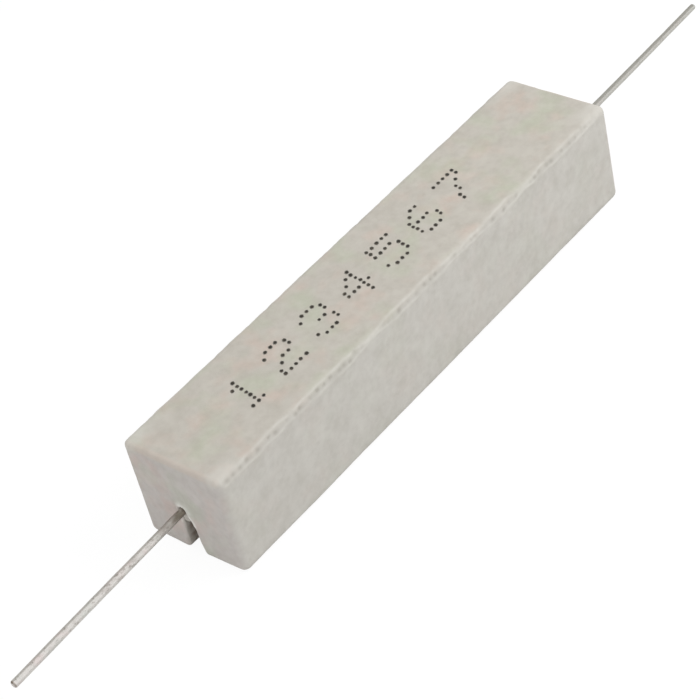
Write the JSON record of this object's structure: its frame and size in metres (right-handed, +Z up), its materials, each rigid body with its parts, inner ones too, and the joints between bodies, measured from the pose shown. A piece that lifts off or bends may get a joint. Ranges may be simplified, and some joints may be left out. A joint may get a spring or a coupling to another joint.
{
  "type": "ceramic-cased wirewound axial resistor",
  "caption": "Long rectangular power resistor: a wound ceramic rod cast in a ceramic trough, with a nearly straight wire lead from each end.",
  "frame": {"origin": "centre of the rectangular base, where the trough's rim and the cement in it lie level", "axes": "+X along the leads towards the longer, far lead; +Z up, from the open, cemented face to the closed face; +Y across the case"},
  "size_m": [0.1137, 0.0126, 0.0122],
  "materials": {
    "ceramic": "matte",
    "cement": "matte",
    "rod_ceramic": "matte",
    "resistance_wire": "satin",
    "cap_steel": "satin",
    "tinned_wire": "satin"
  },
  "bodies": {
    "root": {"ceramic_case": "ceramic", "cement_filling": "cement", "core_rod": "rod_ceramic", "resistance_winding": "resistance_wire", "end_cap_near": "cap_steel", "end_cap_far": "cap_steel", "lead_near": "tinned_wire", "lead_far": "tinned_wire"}
  },
  "joints": []
}
